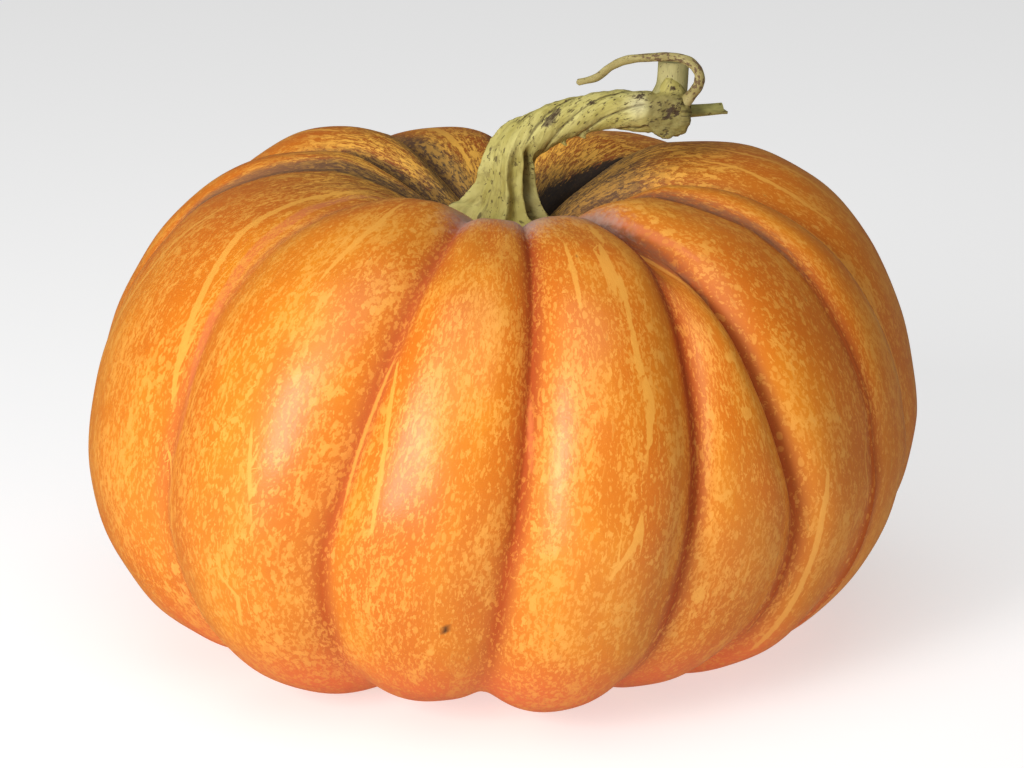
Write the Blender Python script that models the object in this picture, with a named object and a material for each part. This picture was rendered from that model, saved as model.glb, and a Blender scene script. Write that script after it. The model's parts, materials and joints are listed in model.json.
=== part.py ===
"""A ribbed pumpkin as picked: the fruit, its twisted stalk, and on the stalk's end a cut
vine, a cut leaf stalk and a dried tendril.

Metres, +Z up. The fruit stands on z = 0 on the undersides of its lobes, its bounding box
centred on the origin, and its best side faces -Y. Shapes are worked out about the fruit's
own axis with the equator at z = 0, and one empty then sets them all on the ground.
"""

import math
from collections import namedtuple

import bmesh
import bpy
from mathutils import Vector
from mathutils.geometry import interpolate_bezier

MM = 0.001
GAP = 0.3 * MM  # between pieces that touch
SLOPE_UNDER_STALK = 0.7  # cosine of the slope of the flesh round the stalk's foot

# Fruit, plain section
EQUATOR_RADIUS = 150 * MM
RING_RADIUS = 59.5 * MM  # the circle that the flesh's section is swung about
CROWN_RISE = 92.5 * MM
BELLY_DROP = 79.5 * MM
CROWN_ROUNDING = 0.75  # powers that square the section's reach and height
BELLY_ROUNDING = 0.80
HEIGHT_ROUNDING = 1.15
HOLLOW_DROP = 22 * MM  # by which the flesh dips further towards the stalk
HOLLOW_POWER = 1.15
POLE_RADIUS = 7 * MM  # the lobes end here, at the stalk and at the blossom scar
SCAR_HEIGHT = 1.5 * MM  # the blossom scar is a low button
SCAR_TAPER = 0.85
REST_CUT = 1.2 * MM  # taken off the lowest lobe, for the flat spots that it rests on

# Fruit, lobes
CHEEK_POWER = 2.2  # how flat a lobe is across its back
FURROW_POWER = 0.6  # how steeply it dives into the furrow
# The furrows are softer and shallower below this angle, in radians up from the equator.
BELLY_START = 0.2
BELLY_REACH = 0.8  # radians over which they change
BELLY_SOFTNESS = 0.35  # added to each furrow's own
BELLY_SHALLOWING = 0.2  # share of the depth that is lost
FURROW_START = 30 * MM  # how far out from the poles the furrows reach their full depth
COLUMNS_A_LOBE = 10
ROWS = 34

# Each row is one furrow and the lobe to its right, seen from outside. azimuth is degrees
# right of the front, at the equator. swing is the degrees by which the furrow drifts right
# at the crown, and sway the degrees by which it drifts left at the belly. softness is the
# share of a lobe's half width that rounds the furrow's bottom. The rest are millimetres:
# the furrow's depth, how far the lobe swells out, how far its crown stands up and its cheek
# sags, and how far its underside is held up.
Lobe = namedtuple("Lobe", "azimuth swing sway depth softness swell crest sag lift")
LOBES = (
    Lobe(1, 5, 7, 11.0, 0.10, 1, -4, 0, 0.5),
    Lobe(25.5, 5, 5, 12.0, 0.12, -7, -6, -4, 1),
    Lobe(45.5, -11, 2.5, 14.0, 0.10, -6, -2, -2, -0.5),
    Lobe(62, -1.5, 2.5, 7.0, 0.18, -5, 0, -2, -0.5),
    Lobe(80, -6, -1, 8.0, 0.20, -1.5, 5, -1.5, 0.5),
    Lobe(124, 3, 4, 11.0, 0.12, -5, -0.8, 4, 2),
    Lobe(177, 5, 5, 12.0, 0.12, -1, -2, 1, 0),
    Lobe(208, 8, 8, 11.0, 0.12, 1, 3, -1, 2),
    Lobe(241, 3, 4, 6.5, 0.14, 0, 0, 3, 0.5),
    Lobe(273, -14, -14, 6.5, 0.20, 0, -2, 7, 6),
    Lobe(307.5, 2.5, 1.5, 7.0, 0.26, 4, 1, 1, 0.5),
    Lobe(335, 12, 4, 9.5, 0.16, -2, -3.5, -2, 2),
)
SWING_EASE = 0.5  # by how much the drift to the crown is quicker near the equator
SWING_BLEND = 0.15  # share of a quarter turn over which one drift gives way to the other
NARROW_LOBE = 22 * MM  # a lobe narrower than this doesn't rise all the way

# Stalk: stations along its centre line, in millimetres from the axis and the equator.
# twist is the turn of its ridges in degrees, and ridge their height as a share of radius.
Station = namedtuple("Station", "x y z radius twist ridge")
STALK = (
    Station(-1, 0, 62, 21, 0, 0.50),
    Station(-1, 0, 74.5, 16.5, 0, 0.50),
    Station(-0.5, 0, 79, 12.3, 0, 0.46),
    Station(0.5, 0, 86, 9.2, 0, 0.34),
    Station(1.6, 0, 93.5, 8.5, -5, 0.30),
    Station(4.6, 0, 99.8, 7.9, -20, 0.28),
    Station(10.3, -0.5, 104.4, 7.3, -50, 0.26),
    Station(17.5, -1, 108.2, 6.9, -90, 0.26),
    Station(26, -2, 111.0, 6.6, -130, 0.25),
    Station(34.5, -3, 113, 6.4, -170, 0.24),
    Station(42.5, -4, 113.4, 6.8, -200, 0.20),
    Station(49, -5, 113, 7.2, -220, 0.14),
    Station(55, -5, 112.5, 6.2, -235, 0.08),
    Station(60, -4.5, 112.3, 3.5, -245, 0.04),
)
STALK_RIDGES = 5
MINOR_RIDGE = 0.45  # of a main ridge's height
MEAN_RIDGE = 0.3  # the ridges' mean, so that they leave the radius as it is
STALK_SIDES = 40
STALK_ROWS_A_SPAN = 3
# The knob at its end is a coin with a rounded rim, as (x, y, z, radius) from back to front.
KNOB = (
    (57.5, 3.5, 112.5, 3.0),
    (57, 1, 112.5, 6.3),
    (56.5, -3, 112.6, 7.9),
    (56, -9, 112.8, 8.2),
    (55.8, -11, 112.9, 7.3),
    (55.7, -11.8, 112.9, 5.0),
    (55.7, -12, 112.9, 2.0),
)
KNOB_SIDES = 28
KNOB_ROWS_A_SPAN = 2

# Cut vine, cut leaf stalk and tendril, all on the knob at the stalk's end, as points of
# their centre lines with a radius each, in millimetres.
VINE = ((55.5, -4, 114, 7.4), (57, -3.6, 119, 6.0), (57.8, -3, 123, 5.4), (58.3, -2, 130, 5.3))
VINE_SIDES = 20
STUB_ROWS_A_SPAN = 3
LEAF_STALK = ((58, -2, 112, 3.0), (64, -1, 112, 2.6), (70, 0.5, 112.1, 2.4), (75.5, 2, 112.3, 2.3))
LEAF_STALK_SIDES = 12
CHANNEL_DEPTH = 0.45  # of the leaf stalk's radius, along its upper side
CHANNEL_POWER = 4  # how narrow the channel is
PRONG_STEP = 1.4  # mm by which the lower half of its end outruns the upper
TENDRIL = (
    (58, -7, 112, 2.0),
    (63.5, -9.5, 119, 1.8),
    (66.5, -11.5, 124, 1.65),
    (66.5, -12.3, 128.5, 1.55),
    (63, -12, 132.3, 1.45),
    (57, -11, 133.6, 1.4),
    (50, -10, 133.2, 1.35),
    (42, -8.5, 132, 1.3),
    (36.5, -7, 129.3, 1.25),
    (31.5, -5, 125, 1.15),
    (25.5, -3, 123, 0.9),
)
TENDRIL_SIDES = 10
TENDRIL_ROWS_A_SPAN = 4

# Finishes: linear colour and roughness
RIND = ((0.80, 0.29, 0.035, 1), 0.45)
STALK_SKIN = ((0.42, 0.38, 0.13, 1), 0.75)
VINE_SKIN = ((0.40, 0.40, 0.17, 1), 0.75)
TENDRIL_SKIN = ((0.36, 0.29, 0.11, 1), 0.8)
SHARP_ANGLE = 50  # degrees between faces from which an edge is drawn sharp


def clear_scene():
    for old in list(bpy.data.objects):
        bpy.data.objects.remove(old)


def material(name, colour, roughness):
    made = bpy.data.materials.new(name)
    made.use_nodes = True
    shader = made.node_tree.nodes["Principled BSDF"]
    shader.inputs["Base Color"].default_value = colour
    shader.inputs["Roughness"].default_value = roughness
    shader.inputs["Metallic"].default_value = 0.0
    return made


def add_object(name, mesh_edit, finish):
    """An object from a bmesh, shaded smooth with its sharp edges kept."""
    bmesh.ops.recalc_face_normals(mesh_edit, faces=mesh_edit.faces)
    mesh = bpy.data.meshes.new(name)
    mesh_edit.to_mesh(mesh)
    mesh_edit.free()
    mesh.shade_smooth()
    mesh.set_sharp_from_angle(angle=math.radians(SHARP_ANGLE))
    mesh.materials.append(finish)
    made = bpy.data.objects.new(name, mesh)
    bpy.context.scene.collection.objects.link(made)
    return made


def signed_power(value, power):
    return math.copysign(abs(value) ** power, value)


def clamp(value, low, high):
    return max(low, min(high, value))


def smooth_step(value):
    share = clamp(value, 0, 1)
    return share * share * (3 - 2 * share)


def section_point(angle):
    """(radius, height) of the fruit without lobes, at an angle up from the equator."""
    rounding, height = (CROWN_ROUNDING, CROWN_RISE) if angle > 0 else (BELLY_ROUNDING, BELLY_DROP)
    reach = EQUATOR_RADIUS - RING_RADIUS
    radius = RING_RADIUS + reach * signed_power(math.cos(angle), rounding)
    rise = height * signed_power(math.sin(angle), HEIGHT_ROUNDING)
    if angle > math.pi / 2:
        rise -= HOLLOW_DROP * (1 - radius / RING_RADIUS) ** HOLLOW_POWER
    return radius, rise


def section_normal(angle):
    """The outward normal there, as (radial, upward)."""
    step = 0.001
    radius_low, height_low = section_point(angle - step)
    radius_high, height_high = section_point(angle + step)
    along = Vector((radius_high - radius_low, height_high - height_low)).normalized()
    return along.y, -along.x


def pole_angle(rounding):
    """How far past the equator the section comes in to the pole's radius."""
    reach = EQUATOR_RADIUS - RING_RADIUS
    return math.acos(-(((RING_RADIUS - POLE_RADIUS) / reach) ** (1 / rounding)))


def dome(across):
    """A lobe's back: 0 in its furrows, 1 in its middle."""
    return 1 - abs(2 * across - 1) ** CHEEK_POWER


def fullness(across, softness):
    """The same with steep cheeks and a rounded furrow."""
    soft = softness**FURROW_POWER
    top = (1 + softness**2) ** (FURROW_POWER / 2)
    raised = (dome(across) ** 2 + softness**2) ** (FURROW_POWER / 2)
    return (raised - soft) / (top - soft)


def fruit_point(number, across, angle):
    """A point on a lobe, across it from 0 to 1, at an angle up the section."""
    lobe = LOBES[number]
    right = LOBES[(number + 1) % len(LOBES)]
    share = clamp(angle / (math.pi / 2), -1, 1)
    climb = (share + math.hypot(share, SWING_BLEND)) / 2
    swing = climb * (1 + SWING_EASE * (1 - climb))
    sway = share - climb
    start = lobe.azimuth + lobe.swing * swing + lobe.sway * sway
    end = right.azimuth + right.swing * swing + right.sway * sway
    end += 360 if number == len(LOBES) - 1 else 0
    azimuth = math.radians(start + (end - start) * across)
    radius, height = section_point(angle)
    out, up = section_normal(angle)
    back = dome(across)
    outwards = max(0.0, math.cos(angle)) * back
    crown = clamp(height / CROWN_RISE, 0, 1) * back
    belly = clamp(-height / BELLY_DROP, 0, 1) ** 2 * back
    low = smooth_step((BELLY_START - angle) / BELLY_REACH)
    softness = lobe.softness * (1 - across) + right.softness * across + BELLY_SOFTNESS * low
    furrow = (lobe.depth * (1 - across) + right.depth * across) * MM
    furrow *= 1 - BELLY_SHALLOWING * low
    furrow *= math.sqrt(radius / EQUATOR_RADIUS) * smooth_step((radius - POLE_RADIUS) / FURROW_START)
    rise = smooth_step(math.radians(end - start) * radius / NARROW_LOBE)
    offset = -furrow * (1 - fullness(across, softness) * rise)
    offset += lobe.swell * MM * outwards
    radius += out * offset
    height += up * offset + MM * (lobe.crest * crown - lobe.sag * outwards + lobe.lift * belly)
    return Vector((radius * math.sin(azimuth), -radius * math.cos(azimuth), height))


def join_rings(mesh_edit, rings):
    """Skins closed rings of equal length, and caps both ends."""
    rows = [[mesh_edit.verts.new(point) for point in ring] for ring in rings]
    for low, high in zip(rows, rows[1:]):
        for k in range(len(low)):
            after = (k + 1) % len(low)
            mesh_edit.faces.new((low[k], low[after], high[after], high[k]))
    for row in (rows[0], rows[-1]):
        middle = mesh_edit.verts.new(sum((v.co for v in row), Vector()) / len(row))
        for k in range(len(row)):
            mesh_edit.faces.new((row[k], row[(k + 1) % len(row)], middle))


def fruit_rings():
    """Rings of the fruit's skin, from the blossom scar up to the stalk."""
    bottom, top = -pole_angle(BELLY_ROUNDING), pole_angle(CROWN_ROUNDING)
    columns = [
        (number, 0.5 - 0.5 * math.cos(math.pi * k / COLUMNS_A_LOBE))
        for number in range(len(LOBES))
        for k in range(COLUMNS_A_LOBE)
    ]
    angles = [bottom + (top - bottom) * row / (ROWS - 1) for row in range(ROWS)]
    rings = [[fruit_point(number, across, angle) for number, across in columns] for angle in angles]
    level = min(point.z for point in rings[0]) - SCAR_HEIGHT
    scar = [Vector((point.x * SCAR_TAPER, point.y * SCAR_TAPER, level)) for point in rings[0]]
    return [scar] + rings


def build_fruit(finish):
    """The fruit, with its undersides cut flat where it rests. Returns it and that height."""
    rings = fruit_rings()
    rest = min(point.z for ring in rings for point in ring) + REST_CUT
    mesh_edit = bmesh.new()
    join_rings(mesh_edit, rings)
    cut = bmesh.ops.bisect_plane(
        mesh_edit,
        geom=mesh_edit.verts[:] + mesh_edit.edges[:] + mesh_edit.faces[:],
        dist=1e-6,
        plane_co=(0, 0, rest),
        plane_no=(0, 0, -1),
        clear_outer=True,
    )
    edges = [item for item in cut["geom_cut"] if isinstance(item, bmesh.types.BMEdge)]
    bmesh.ops.holes_fill(mesh_edit, edges=edges)
    bmesh.ops.triangulate(mesh_edit, faces=mesh_edit.faces)
    return add_object("fruit", mesh_edit, finish), rest


def smooth_stations(stations, rows_a_span):
    """Stations read from one smooth curve through the given ones, all columns alike."""
    count = len(stations)
    found = []
    for k in range(count - 1):
        before, start, end, after = (
            stations[clamp(k + shift, 0, count - 1)] for shift in (-1, 0, 1, 2)
        )
        columns = []
        for a, b, c, d in zip(before, start, end, after):
            # A Bezier's handles reach a third of the way, and a tangent is half of (c - a).
            knots = [Vector((value, 0)) for value in (b, b + (c - a) / 6, c - (d - b) / 6, c)]
            columns.append([point.x for point in interpolate_bezier(*knots, rows_a_span + 1)])
        found += list(zip(*columns))[: -1 if k < count - 2 else None]
    return found


def frames_along(points):
    """(side, up) at each point, square to the line and turning with it as little as can be."""
    frames = []
    first = (points[1] - points[0]).normalized()
    side = Vector((0, -1, 0)) if abs(first.y) < 0.7 else Vector((1, 0, 0))
    for k, point in enumerate(points):
        along = points[min(k + 1, len(points) - 1)] - points[max(k - 1, 0)]
        along.normalize()
        side = (side - along * side.dot(along)).normalized()
        frames.append((side, along.cross(side)))
    return frames


def sweep(points, sides, radius_at, twists=None):
    """Rings round a line. radius_at(row, turn) is the radius at a turn in radians, and
    twists, in degrees, turn each ring about the line."""
    rings = []
    for row, (point, (side, up)) in enumerate(zip(points, frames_along(points))):
        twist = math.radians(twists[row]) if twists else 0
        ring = []
        for k in range(sides):
            turn = 2 * math.pi * k / sides
            out = side * math.cos(turn + twist) + up * math.sin(turn + twist)
            ring.append(point + out * radius_at(row, turn))
        rings.append(ring)
    return rings


def ridges(turn):
    """The stalk's ridges round its girth, 0 in the valleys: sharp main ones, 1 high, with
    lower ones between."""
    crest = 1 - abs(math.sin(STALK_RIDGES * turn))
    return crest if math.cos(STALK_RIDGES * turn) > 0 else crest * MINOR_RIDGE


def build_stalk(finish):
    stations = [Station(*row) for row in smooth_stations(STALK, STALK_ROWS_A_SPAN)]

    def radius_at(row, turn):
        station = stations[row]
        return station.radius * MM * (1 + station.ridge * (ridges(turn) - MEAN_RIDGE))

    points = [Vector((s.x, s.y, s.z)) * MM for s in stations]
    twists = [station.twist for station in stations]
    mesh_edit = bmesh.new()
    join_rings(mesh_edit, sweep(points, STALK_SIDES, radius_at, twists))
    stalk = add_object("stalk", mesh_edit, finish)
    merge(stalk, build_round("knob", smooth_stations(KNOB, KNOB_ROWS_A_SPAN), KNOB_SIDES, finish))
    return stalk


def build_round(name, stations, sides, finish):
    """A round piece through stations of (x, y, z, radius), with flat ends."""
    points = [Vector(s[:3]) * MM for s in stations]
    mesh_edit = bmesh.new()
    join_rings(mesh_edit, sweep(points, sides, lambda row, turn: stations[row][3] * MM))
    return add_object(name, mesh_edit, finish)


def merge(piece, other):
    """Grows the other into the piece, as one closed solid."""
    modifier = piece.modifiers.new("merge", "BOOLEAN")
    modifier.operation = "UNION"
    modifier.solver = "EXACT"
    modifier.object = other
    bpy.context.view_layer.update()
    graph = bpy.context.evaluated_depsgraph_get()
    merged = bpy.data.meshes.new_from_object(piece.evaluated_get(graph))
    piece.modifiers.clear()
    piece.data = merged
    bpy.data.objects.remove(other)


def build_vine(finish):
    """The vine's stub, cut square at the top."""
    stations = smooth_stations(VINE, STUB_ROWS_A_SPAN)
    return build_round("vine_stub", stations, VINE_SIDES, finish)


def build_leaf_stalk(finish):
    """The leaf stalk's stub: a channel along its top, and an end cut in two steps."""
    stations = smooth_stations(LEAF_STALK, STUB_ROWS_A_SPAN)
    points = [Vector(s[:3]) * MM for s in stations]

    def radius_at(row, turn):
        channel = max(0.0, math.sin(turn)) ** CHANNEL_POWER
        return stations[row][3] * MM * (1 - CHANNEL_DEPTH * channel)

    rings = sweep(points, LEAF_STALK_SIDES, radius_at)
    middle = points[-1]
    rings[-1] = [
        point + Vector((PRONG_STEP * MM if point.z < middle.z else 0, 0, 0)) for point in rings[-1]
    ]
    mesh_edit = bmesh.new()
    join_rings(mesh_edit, rings)
    return add_object("leaf_stalk_stub", mesh_edit, finish)


def build_tendril(finish):
    """The tendril, curling over the vine's stub, with a blunt dried tip."""
    stations = smooth_stations(TENDRIL, TENDRIL_ROWS_A_SPAN)
    return build_round("tendril", stations, TENDRIL_SIDES, finish)


def cutter_like(neighbour, name):
    """A hidden copy of a piece, as it is before its own trim."""
    cutter = neighbour.copy()
    cutter.data = neighbour.data.copy()
    cutter.name = name
    cutter.modifiers.clear()
    bpy.context.scene.collection.objects.link(cutter)
    cutter.hide_render = True
    cutter.display_type = "WIRE"
    return cutter


def swell(cutter, distance):
    """Moves a cutter's skin outwards all round."""
    normals = [vertex.normal.copy() for vertex in cutter.data.vertices]
    for vertex, normal in zip(cutter.data.vertices, normals):
        vertex.co += normal * distance


def trim(piece, cutter):
    """Cuts away what lies within the cutter."""
    modifier = piece.modifiers.new("trim", "BOOLEAN")
    modifier.operation = "DIFFERENCE"
    modifier.solver = "EXACT"
    modifier.object = cutter


def stand_on_ground(fruit, rest, pieces):
    """Sets every piece so that the fruit stands on z = 0, centred on the origin."""
    xs, ys = ([vertex.co[axis] for vertex in fruit.data.vertices] for axis in (0, 1))
    ground = bpy.data.objects.new("pumpkin", None)
    bpy.context.scene.collection.objects.link(ground)
    ground.location = (-(min(xs) + max(xs)) / 2, -(min(ys) + max(ys)) / 2, -rest)
    for piece in pieces:
        piece.parent = ground


def main():
    clear_scene()
    stalk_skin = material("stalk_skin", *STALK_SKIN)
    fruit, rest = build_fruit(material("rind", *RIND))
    stalk = build_stalk(stalk_skin)
    vine = build_vine(material("vine_skin", *VINE_SKIN))
    leaf_stalk = build_leaf_stalk(stalk_skin)
    tendril = build_tendril(material("tendril_skin", *TENDRIL_SKIN))
    hollow = cutter_like(fruit, "hollow_cutter")
    hollow.location.z = GAP / SLOPE_UNDER_STALK
    trim(stalk, hollow)
    knob = cutter_like(stalk, "knob_cutter")
    swell(knob, GAP)
    for piece in (vine, leaf_stalk, tendril):
        trim(piece, knob)
    stand_on_ground(fruit, rest, bpy.context.scene.objects[:])


main()
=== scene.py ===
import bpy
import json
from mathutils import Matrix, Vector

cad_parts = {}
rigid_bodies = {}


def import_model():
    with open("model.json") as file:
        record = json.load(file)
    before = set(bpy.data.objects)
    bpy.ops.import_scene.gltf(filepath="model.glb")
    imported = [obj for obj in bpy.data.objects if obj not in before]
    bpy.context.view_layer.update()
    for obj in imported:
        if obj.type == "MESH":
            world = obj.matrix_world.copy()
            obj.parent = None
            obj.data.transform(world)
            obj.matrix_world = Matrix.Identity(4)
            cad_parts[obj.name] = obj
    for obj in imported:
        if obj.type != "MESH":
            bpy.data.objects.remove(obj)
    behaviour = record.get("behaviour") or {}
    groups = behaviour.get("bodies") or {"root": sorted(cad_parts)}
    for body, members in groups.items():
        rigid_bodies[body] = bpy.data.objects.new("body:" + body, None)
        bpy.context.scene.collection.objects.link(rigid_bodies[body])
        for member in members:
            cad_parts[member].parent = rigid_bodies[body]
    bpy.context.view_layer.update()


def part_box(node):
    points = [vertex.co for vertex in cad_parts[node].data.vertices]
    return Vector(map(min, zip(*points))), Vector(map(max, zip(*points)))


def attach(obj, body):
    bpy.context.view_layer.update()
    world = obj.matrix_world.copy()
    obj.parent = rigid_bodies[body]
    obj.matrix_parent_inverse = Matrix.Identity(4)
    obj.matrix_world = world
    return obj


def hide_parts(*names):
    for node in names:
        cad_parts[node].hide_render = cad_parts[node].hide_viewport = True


bl_info = {
    "name": "Flecked Ribbed Pumpkin",
    "version": (1, 0, 0),
    "blender": (4, 5, 0),
    "location": "3D Viewport > Sidebar > Pumpkin",
    "description": "Builds a ribbed pumpkin with a twisted stalk on its packed solids",
    "category": "Object",
}

import json
import math

import bmesh
import bpy
import numpy as np
from bpy.props import FloatProperty, FloatVectorProperty, PointerProperty
from mathutils import Matrix, Vector

for leftover in list(bpy.data.objects):
    bpy.data.objects.remove(leftover)
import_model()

MM = 0.001

# The fruit's plain section, in metres about its own axis, with the equator at height 0.
EQUATOR_RADIUS = 150 * MM
RING_RADIUS = 59.5 * MM
CROWN_RISE = 92.5 * MM
BELLY_DROP = 79.5 * MM
CROWN_ROUNDING = 0.75
BELLY_ROUNDING = 0.80
HEIGHT_ROUNDING = 1.15
HOLLOW_DROP = 22 * MM
HOLLOW_POWER = 1.15
POLE_RADIUS = 7 * MM
CHEEK_POWER = 2.2
FURROW_POWER = 0.6
# The furrows are softer and shallower below this angle, in radians up from the equator.
BELLY_START = 0.2
BELLY_REACH = 0.8
BELLY_SOFTNESS = 0.35
BELLY_SHALLOWING = 0.2
FURROW_START = 30 * MM  # from the poles, over which the furrows deepen
SWING_EASE = 0.5  # how early their turn towards the stalk sets in
SWING_BLEND = 0.15  # how softly it gives way to the turn towards the belly
NARROW_LOBE = 22 * MM  # narrower lobes are flatter

# One row for each furrow and the lobe to its right. In degrees: its azimuth at the equator,
# and how far it turns towards the stalk and towards the belly. Then the furrow's depth in
# millimetres and softness, and the lobe's swell, crest, sag and lift in millimetres.
LOBES = np.array(
    (
        (1, 5, 7, 11.0, 0.10, 1, -4, 0, 0.5),
        (25.5, 5, 5, 12.0, 0.12, -7, -6, -4, 1),
        (45.5, -11, 2.5, 14.0, 0.10, -6, -2, -2, -0.5),
        (62, -1.5, 2.5, 7.0, 0.18, -5, 0, -2, -0.5),
        (80, -6, -1, 8.0, 0.20, -1.5, 5, -1.5, 0.5),
        (124, 3, 4, 11.0, 0.12, -5, -0.8, 4, 2),
        (177, 5, 5, 12.0, 0.12, -1, -2, 1, 0),
        (208, 8, 8, 11.0, 0.12, 1, 3, -1, 2),
        (241, 3, 4, 6.5, 0.14, 0, 0, 3, 0.5),
        (273, -14, -14, 6.5, 0.20, 0, -2, 7, 6),
        (307.5, 2.5, 1.5, 7.0, 0.26, 4, 1, 1, 0.5),
        (335, 12, 4, 9.5, 0.16, -2, -3.5, -2, 2),
    )
)
# How much each furrow carries, as shares: grey-brown film, red, and a salmon blush. Then the
# film's half width near the stalk in millimetres.
TINTS = np.array(
    (
        (0.05, 1.0, 0.0, 3),
        (0.3, 1.0, 0.0, 3),
        (0.5, 0.95, 0.05, 3),
        (0.6, 0.8, 0.0, 3.2),
        (0.55, 0.6, 0.0, 3.2),
        (0.9, 0.6, 0.1, 5),
        (0.8, 0.8, 0.1, 5),
        (1.0, 0.7, 0.1, 11),
        (0.9, 0.5, 0.0, 4),
        (0.9, 0.4, 0.05, 4.5),
        (0.35, 0.35, 0.3, 3),
        (0.1, 0.9, 0.2, 3),
    )
)
LOBE_COUNT = len(LOBES)
FLOW_NARROWING = 0.22  # how far the flecks' pattern narrows towards the poles, 0 not at all
FRUIT_COLUMNS = 36  # to a lobe
FRUIT_ROWS = 190
COLUMN_EASE = 0.65  # how far the columns gather towards the furrows, 0 not at all
CAD_COLUMNS, CAD_ROWS = 10, 34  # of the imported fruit
# Soft dents over the lobes: share of the settings' relief, size and seed.
DENTS = ((1.0, 62 * MM, 3), (0.45, 27 * MM, 4))

# Where the skin's tints begin, and how far from there each takes to its full strength. Radii
# and depth are in millimetres from the fruit's axis and equator, and angles in radians up
# from the equator.
FURROW_ANGLE = (-1.25, 0.8)
BLUSH_ANGLE = (-0.3, 0.5)
FILM_ANGLE = (0.55, 0.7)
FILM_SPREAD = (0.55, 0.9)
CROWN_ANGLE = (0.8, 0.5)
CROWN_RADIUS = (110, 68)
# The pit behind the stalk is painted shadow.
PIT_SHADOW_RADIUS = (102, 50)
BLOOM_RADIUS = (90, 44)
FAN_RADIUS = (78, 56)
INNER_RADIUS = (56, 36)
BELLY_DEPTH = (36, 30)
# The pit is painted shadow, and the inner film is partly painted shade of the hollow.
UPPER_ANGLE = 0.9  # the pit, the bloom and the inner film are only above it
FRONT_AZIMUTH = math.radians(8)
# Half widths of the tints along the furrows, in millimetres, and how much wider the red is
# at the equator.
FURROW_WIDTH, FURROW_WIDENING = 2.4, 1.6
FILM_WIDTH, BLUSH_WIDTH, BLOOM_WIDTH = 2.4, 5, 11
# How far from a mark its distance is told, and where its half width fades out, in millimetres.
MARK_REACH = 9.0
MARK_FADE = (7.5, 2.5)

# Marks that run along the ribs: half width in millimetres, then places on the fruit as
# azimuth and angle up from the equator, in degrees. Streaks are broad and pale, threads are
# painted highlights along thin ridge edges, and salmon bands are pinkish.
STREAKS = (
    (1.5, ((23, 86), (19, 70), (18.5, 60))),
    (1.25, ((20.5, 66), (19, 51), (19, 42), (20, 34), (19, 28), (18, 20), (17.5, 13))),
    (1.5, ((17, 10), (16, 3), (14.5, -3), (13, -8))),
    (0.9, ((13, 80), (12.5, 68), (12, 56))),
    (1.2, ((48.5, 9), (48, -5), (48, -28), (47.5, -56))),
    (0.9, ((100, 92), (95, 80), (93, 70), (92, 50))),
    (0.9, ((88, 88), (84, 76), (83, 64), (83, 56))),
    (1.1, ((330, 88), (331.5, 77), (330.5, 70), (329, 58))),
    (
        1.7,
        ((298, 92), (296, 86), (297, 80), (298, 70), (300, 62), (303, 50), (305, 36), (306, 26)),
    ),
    (1.3, ((307, 14), (309.5, 7), (311, -3), (309, -16))),
    (0.8, ((326, 26), (327, 13), (327.5, 5))),
    (1.0, ((321.5, -12), (324, -19), (323, -28))),
    (0.9, ((344, 44), (344, 24), (343, 2))),
    (0.9, ((221, 110), (221, 100), (222, 86))),
    (1.9, ((199, 98), (200, 86), (201, 74))),
    (1.6, ((152, 84), (150, 40), (149, -20))),
    (1.2, ((135, 40), (137, -30))),
    (1.4, ((190, 60), (191, 0))),
    (1.4, ((201, 30), (200, -44))),
    (1.5, ((233, 84), (229, 40), (228, 0))),
    (1.2, ((217, 50), (216, -40))),
    (1.4, ((255, 66), (255, 20))),
    (1.2, ((281, 70), (279, 20))),
    (1.0, ((286, 10), (287, -36))),
)
# Painted highlights along thin ridge edges beside some furrows.
HIGHLIGHT_THREADS = (
    (0.7, ((33.5, 84), (34, 72), (35, 62), (36.6, 54), (37.4, 46), (38.5, 38))),
    (0.6, ((60, 16), (58.5, 6), (60, -10))),
    (0.7, ((343.5, 46), (341.5, 35), (339.5, 22), (338, 8))),
    (0.7, ((315.5, 44), (314, 34), (313, 26), (312, 18))),
    (0.5, ((76.5, 74), (77.5, 50), (79.5, 30), (81, 10))),
)
SALMON = (
    (
        2.6,
        ((301, 92), (303, 84), (305, 76), (306, 64), (308, 48), (309, 34), (310.5, 24), (310, 14)),
    ),
    (1.5, ((35.5, 92), (37, 84), (38.5, 76), (39.5, 68))),
    (1.2, ((3.5, 36), (3.5, 28), (3.5, 20))),
)
# Round marks on the fruit: azimuth, angle, radius in millimetres. The blemish is dark.
BLOTS = (
    (306, -25, 3.0),
    (322, 22, 2.2),
    (41, 84, 2.2),
    (40, 79, 2.4),
    (35, 41, 2.8),
    (35, 27, 2.8),
    (28, -25, 3.2),
    (150, 20, 3.0),
    (205, 50, 2.6),
    (262, -10, 3.0),
)
BLEMISH = (352, -27.5, 1.5)
# That furrow's upper side is painted near black as shadow in the hollow.
PIT_SHADOW_FURROW = 5  # the furrow whose upper side is almost black near the stalk

# Stalk stations in millimetres: x, y, z, radius, twist in degrees, ridge as a share.
STALK = np.array(
    (
        (-1, 0, 62, 21, 0, 0.50),
        (-1, 0, 74.5, 16.5, 0, 0.50),
        (-0.5, 0, 79, 12.3, 0, 0.46),
        (0.5, 0, 86, 9.2, 0, 0.34),
        (1.6, 0, 93.5, 8.5, -5, 0.30),
        (4.6, 0, 99.8, 7.9, -20, 0.28),
        (10.3, -0.5, 104.4, 7.3, -50, 0.26),
        (17.5, -1, 108.2, 6.9, -90, 0.26),
        (26, -2, 111.0, 6.6, -130, 0.25),
        (34.5, -3, 113, 6.4, -170, 0.24),
        (42.5, -4, 113.4, 6.8, -200, 0.20),
        (49, -5, 113, 7.2, -220, 0.14),
        (55, -5, 112.5, 6.2, -235, 0.08),
        (60, -4.5, 112.3, 3.5, -245, 0.04),
    )
)
STALK_RIDGES = 5  # with as many minor ones between them
MINOR_RIDGE = 0.45
MEAN_RIDGE = 0.3
RIDGE_LIMIT = 1.3
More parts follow.
